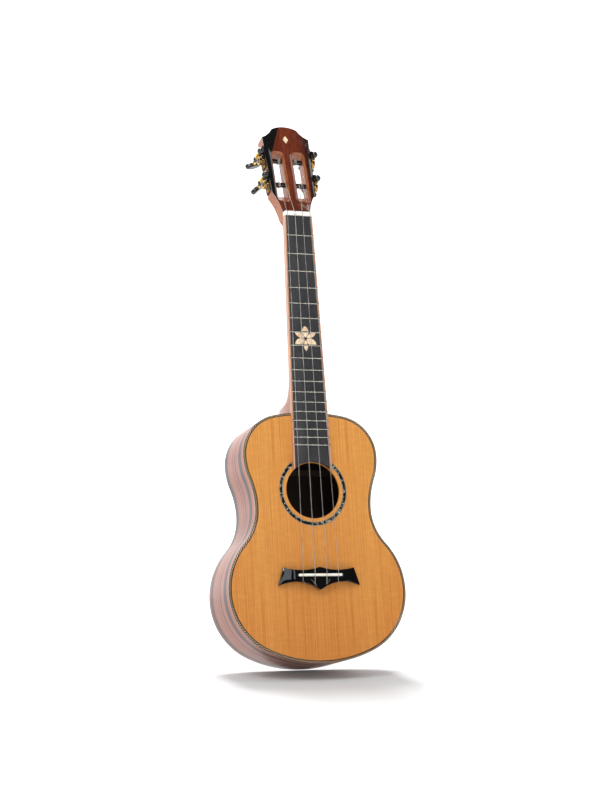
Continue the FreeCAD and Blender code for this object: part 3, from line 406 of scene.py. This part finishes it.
looks = {
    "cedar": cedar(),
    "side_wood": striped_sides(),
    "back_wood": striped_back(),
    "neck_wood": mahogany("mahogany", tint(128, 66, 34), tint(186, 112, 68)),
    "strip_wood": mahogany("pale_strip", tint(190, 134, 104), tint(220, 170, 138)),
    "veneer": veneer(),
    "ebony": ebony(),
    "spruce": shaded_raw_spruce(),
    "shell": shell(),
    "lines": ring_lines(),
    "petal": petal_inlay(),
    "bone": bone(),
    "nylon": nylon(),
    "rope": rope(),
    "dark_trim": mahogany("dark_trim", tint(26, 18, 16), tint(48, 34, 30)),
    "nickel": metal("nickel", tint(176, 172, 160), tint(222, 219, 208), 0.16, 0.3),
    "gold": metal("gold", tint(196, 158, 88), tint(240, 212, 146), 0.14, 0.3),
    "black_metal": black("black_metal", 6, 0.16, 0.28, 0.6),
    "black_plastic": black("black_plastic", 14, 0.12, 0.24, 0.7),
    "bridge_black": black("bridge_black", 1, 0.05, 0.1, 0.8),
}
NODE_LOOKS = {
    "soundboard": "cedar", "side_bass": "side_wood", "side_treble": "side_wood",
    "back_plate": "back_wood", "back_binding": "dark_trim", "neck": "neck_wood",
    "heel_cap": "dark_trim", "headstock_veneer": "veneer", "headstock_diamond": "petal",
    "fretboard_flower": "petal", "fretboard": "ebony", "fretboard_binding_bass": "strip_wood",
    "fretboard_binding_treble": "strip_wood", "rosette_shell_ring": "shell",
    "rosette_lines": "lines", "bridge": "bridge_black", "frets": "nickel", "nut": "bone",
    "saddle": "bone", "tuner_screws": "gold",
}
TUNER_LOOKS = {
    "tuner_plate": "black_metal", "roller": "black_metal", "gear": "gold", "worm": "gold",
    "gear_screw": "black_metal", "button": "black_plastic",
}
for tuner in TUNERS:
    for piece, look_name in TUNER_LOOKS.items():
        NODE_LOOKS[piece + "_" + tuner] = look_name
for letter in STRINGS:
    NODE_LOOKS["string_" + letter] = "nylon"


def dress(obj, look):
    """Give every face of an object one look."""
    obj.data.materials.clear()
    obj.data.materials.append(looks[look])
    for polygon in obj.data.polygons:
        polygon.material_index = 0


for name, node in nodes.items():
    dress(node, NODE_LOOKS.get(name, "spruce"))


# ---- new pieces ----------------------------------------------------------------------------
def new_piece(name, mesh, look, body, slot, *stands_for):
    """Link a mesh as a piece on a body, with a look. The slot is not used."""
    obj = bpy.data.objects.new(name, mesh)
    bpy.context.scene.collection.objects.link(obj)
    dress(obj, look)
    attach(obj, body)
    if stands_for:
        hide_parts(*stands_for)
    return obj


def smooth(mesh):
    """Shade every face of a mesh smooth."""
    for polygon in mesh.polygons:
        polygon.use_smooth = True


def crisp(obj, bevel):
    """Round the sharp edges by a bevel, if it isn't zero, and shade the rest smooth."""
    smooth(obj.data)
    weld = obj.modifiers.new("weld", "WELD")
    weld.merge_threshold = WELD_GAP
    if bevel:
        rounded = obj.modifiers.new("rounded", "BEVEL")
        rounded.width = bevel
        rounded.segments = 2
        rounded.limit_method = "ANGLE"
        rounded.angle_limit = EDGE_ANGLE
        rounded.use_clamp_overlap = True
        rounded.harden_normals = False


def welded(node):
    """The node's mesh with its faces joined up."""
    work = bmesh.new()
    work.from_mesh(nodes[node].data)
    bmesh.ops.remove_doubles(work, verts=work.verts, dist=WELD_GAP)
    return work


def faces_front(face):
    """Whether a face looks forward, out of the instrument's front."""
    return face.normal.y < -0.9


def loops_of(work, keep):
    """Boundary loops of the faces that keep() picks, longest first, as lists of points."""
    picked = {face for face in work.faces if keep(face)}
    edges = {edge for face in picked for edge in face.edges
             if sum(other in picked for other in edge.link_faces) == 1}
    links = {}
    for edge in edges:
        for vert in edge.verts:
            links.setdefault(vert, []).append(edge.other_vert(vert))
    loops = []
    left = set(links)
    while left:
        here = min(left, key=lambda v: v.index)
        loop = [here]
        left.discard(here)
        while True:
            onward = [v for v in links[here] if v in left]
            if not onward:
                break
            here = onward[0]
            left.discard(here)
            loop.append(here)
        loops.append([v.co.copy() for v in loop])
    return sorted(loops, key=lambda pts: -sum((a - b).length for a, b in zip(pts, pts[1:])))


def rope_binding():
    """The top binding again, with a UV in millimetres for the strands to wind along."""
    depth_share = 0.9
    work = welded("top_binding")
    rim = loops_of(work, faces_front)[0]
    runs = [0.0]
    for before, after in zip(rim, rim[1:]):
        runs.append(runs[-1] + (after - before).length)
    layer = work.loops.layers.uv.new("run")
    places = {}
    for vert in work.verts:
        nearest, run = math.inf, 0.0
        for index in range(len(rim) - 1):
            start, step = rim[index], rim[index + 1] - rim[index]
            flat = Vector((vert.co.x - start.x, 0, vert.co.z - start.z))
            share = min(max(flat.dot(step) / max(step.length_squared, 1e-12), 0), 1)
            away = (flat - step * share).length
            if away < nearest:
                nearest, run = away, runs[index] + share * step.length
        places[vert] = (run / MM, nearest / MM + (vert.co.y - top_front) / MM * depth_share)
    length = runs[-1] / MM
    for face in work.faces:
        values = [places[loop.vert] for loop in face.loops]
        wraps = max(v[0] for v in values) - min(v[0] for v in values) > length / 2
        for loop, (run, across) in zip(face.loops, values):
            loop[layer].uv = (run + length if wraps and run < length / 2 else run, across)
    mesh = bpy.data.meshes.new("rope_binding")
    work.to_mesh(mesh)
    work.free()
    piece = new_piece("rope_binding", mesh, "rope", ROOT, "rope_binding", "top_binding")
    crisp(piece, 0.0)


def round_line(name, radius, resolution, caps=False):
    """An empty curve with a round section."""
    curve = bpy.data.curves.new(name, "CURVE")
    curve.dimensions = "3D"
    curve.bevel_depth = radius
    curve.bevel_resolution = resolution
    curve.use_fill_caps = caps
    return curve


def mesh_of(curve):
    """A curve's shape as a smooth mesh."""
    obj = bpy.data.objects.new("line", curve)
    bpy.context.scene.collection.objects.link(obj)
    mesh = bpy.data.meshes.new_from_object(obj)
    bpy.data.objects.remove(obj)
    smooth(mesh)
    return mesh


def outline_piece(name, node, radius, look, slot):
    """A fine line that follows the edge of a node's front faces."""
    work = welded(node)
    curve = round_line(name, radius, 2)
    for loop in loops_of(work, faces_front):
        if len(loop) < 3:
            continue
        spline = curve.splines.new("POLY")
        spline.points.add(len(loop) - 1)
        for point, place in zip(spline.points, loop):
            point.co = (*place, 1)
        spline.use_cyclic_u = True
    work.free()
    new_piece(name, mesh_of(curve), look, ROOT, slot)


# Each string's hole below the saddle, and how far its cut end lies aside and rises.
TAILS = {
    "g": (0.0068, 0.0022, -0.0030),
    "c": (0.0108, -0.0040, 0.0055),
    "e": (0.0108, 0.0040, 0.0055),
    "a": (0.0068, 0.0006, -0.0030),
}
TAIL_RADIUS, TAIL_SINK, TAIL_BULGE, TAIL_REST, TAIL_BEND = 0.00022, 0.0006, 0.0011, 0.0008, 0.35


def string_tails():
    """Short cut ends of the strings, lying on the bridge behind the saddle."""
    for index, letter in enumerate(STRINGS):
        drop, aside, rise = TAILS[letter]
        x = (index - (len(STRINGS) - 1) / 2) * STRING_SPACING
        start = Vector((x, bridge_front + TAIL_SINK, middle("saddle").z - drop))
        curve = round_line("tail", TAIL_RADIUS, 3, caps=True)
        spline = curve.splines.new("BEZIER")
        spline.bezier_points.add(2)
        steps = (Vector((0, 0, 0)),
                 Vector((aside * TAIL_BEND, -TAIL_BULGE, rise * TAIL_BEND)),
                 Vector((aside, -TAIL_REST, rise)))
        for point, step in zip(spline.bezier_points, steps):
            point.co = start + step
            point.handle_left_type = point.handle_right_type = "AUTO"
        new_piece("string_tail_" + letter, mesh_of(curve), "nylon", ROOT, "nylon")


rope_binding()
string_tails()
outline_piece("flower_outline", "fretboard_flower", 0.00016, "dark_trim", "dark_binding")
for name in CRISP_NODES:
    crisp(nodes[name], EDGE_ROUND)


# ---- stage, lights and camera ------------------------------------------------------------
STAGE_SLOPE = math.radians(15)
STAGE_NEAR, STAGE_BEND, STAGE_HALF_WIDTH = -20.0, 3.0, 20.0
BEND_RADIUS, BEND_STEPS, WALL_TOP = 1.5, 12, 9.0
STAGE_GAP = 0.0005
WORLD_CAMERA, WORLD_DIFFUSE, WORLD_GLOSSY = 1.0, 0.5, 0.05
CAMERA_TURN = (20.467, 12.625, -3.302)      # yaw, pitch and roll in degrees
CAMERA_PLACE = (-0.77357, -2.04706, -0.18242)
CAMERA_LENS, CAMERA_SENSOR, CAMERA_CLIP = 86.12, 36, (0.05, 60)
CENTRE = (0, 0.03, 0.33)
NEUTRAL = (1, 1, 1)
# Name, place, target, size, power and colour.
LIGHTS = (
    ("key", (-1.3, -1.9, 1.9), CENTRE, (1.2, 1.2), 32, NEUTRAL),
    ("wing", (-0.15, -2.6, 0.62), (0, 0, 0.1), (1.1, 1.6), 8.5, (0.82, 0.91, 1.0)),
    ("fill", (1.7, -0.9, 1.9), CENTRE, (1.2, 1.2), 10, NEUTRAL),
    ("side", (-2.3, 0.2, 1.4), CENTRE, (0.8, 1.2), 0.8, NEUTRAL),
    ("top", (0.0, 0.75, 2.9), (0, 0.1, 0), (0.9, 0.9), 95, NEUTRAL),
)


def make_stage():
    """Pale floor that leans with the instrument, curving up into a far wall."""
    profile = [(STAGE_NEAR, 0.0), (STAGE_BEND, 0.0)]
    for step in range(1, BEND_STEPS + 1):
        turn = math.radians(90) * step / BEND_STEPS
        profile.append((STAGE_BEND + BEND_RADIUS * math.sin(turn),
                        BEND_RADIUS - BEND_RADIUS * math.cos(turn)))
    profile.append((STAGE_BEND + BEND_RADIUS, WALL_TOP))
    verts, faces = [], []
    for x in (-STAGE_HALF_WIDTH, STAGE_HALF_WIDTH):
        for run, rise in profile:
            y = back_foot + run * math.cos(STAGE_SLOPE) - rise * math.sin(STAGE_SLOPE)
            z = run * math.sin(STAGE_SLOPE) + rise * math.cos(STAGE_SLOPE)
            verts.append((x, y, z - STAGE_GAP))
    count = len(profile)
    for index in range(count - 1):
        faces.append((index, index + 1, count + index + 1, count + index))
    mesh = bpy.data.meshes.new("stage_floor")
    mesh.from_pydata(verts, [], faces)
    mesh.update()
    obj = bpy.data.objects.new("stage_floor", mesh)
    bpy.context.scene.collection.objects.link(obj)
    look = Look("stage_pale", Roughness=0.9)
    look.shader.inputs["Emission Color"].default_value = (1, 1, 1, 1)
    far = look.add("VectorMath", {0: look.place}, operation="LENGTH").outputs["Value"]
    glow = look.span(far, 0.4, 2.2, 0.04, 0.85)
    look.put(look.shader.inputs["Emission Strength"], glow)
    grain = look.noise((3, 3, 3), 2.0)
    look.finish(look.ramp(grain, (0.3, 0.62), (0.7, 0.64)), 0.9)
    obj.data.materials.append(look.material)
    smooth(mesh)


def make_world():
    """White surround, whole to the camera, dimmer as a light and dimmest in reflections."""
    world = bpy.data.worlds.new("studio")
    world.use_nodes = True
    tree = world.node_tree
    background = tree.nodes["Background"]
    background.inputs["Color"].default_value = (1, 1, 1, 1)
    path = tree.nodes.new("ShaderNodeLightPath")
    strength = WORLD_DIFFUSE
    for ray, seen in (("Is Glossy Ray", WORLD_GLOSSY), ("Is Camera Ray", WORLD_CAMERA)):
        level = tree.nodes.new("ShaderNodeMapRange")
        tree.links.new(path.outputs[ray], level.inputs["Value"])
        if isinstance(strength, float):
            level.inputs["To Min"].default_value = strength
        else:
            tree.links.new(strength, level.inputs["To Min"])
        level.inputs["To Max"].default_value = seen
        strength = level.outputs[0]
    tree.links.new(strength, background.inputs["Strength"])
    bpy.context.scene.world = world


def make_camera():
    """The camera, from its yaw, pitch and roll."""
    yaw, pitch, roll = (math.radians(angle) for angle in CAMERA_TURN)
    forward = Vector((math.sin(yaw) * math.cos(pitch), math.cos(yaw) * math.cos(pitch),
                      math.sin(pitch)))
    level = Vector((math.cos(yaw), -math.sin(yaw), 0))
    upright = level.cross(forward)
    right = level * math.cos(roll) + upright * math.sin(roll)
    up = upright * math.cos(roll) - level * math.sin(roll)
    data = bpy.data.cameras.new("camera")
    data.sensor_width = CAMERA_SENSOR
    data.lens = CAMERA_LENS
    data.clip_start, data.clip_end = CAMERA_CLIP
    obj = bpy.data.objects.new("camera", data)
    bpy.context.scene.collection.objects.link(obj)
    obj.rotation_mode = "QUATERNION"
    obj.rotation_quaternion = Matrix((right, up, -forward)).transposed().to_quaternion()
    obj.location = CAMERA_PLACE
    bpy.context.scene.camera = obj


def add_light(name, place, target, size, power, colour):
    """A rectangular light aimed at a target."""
    light = bpy.data.lights.new(name, "AREA")
    light.shape = "RECTANGLE"
    light.size, light.size_y = size
    light.energy = power
    light.color = colour
    obj = bpy.data.objects.new(name, light)
    obj.location = place
    obj.rotation_euler = (Vector(target) - Vector(place)).to_track_quat("-Z", "Y").to_euler()
    bpy.context.scene.collection.objects.link(obj)


make_stage()
make_world()
make_camera()
for light in LIGHTS:
    add_light(*light)
bpy.context.scene.view_settings.view_transform = "Standard"
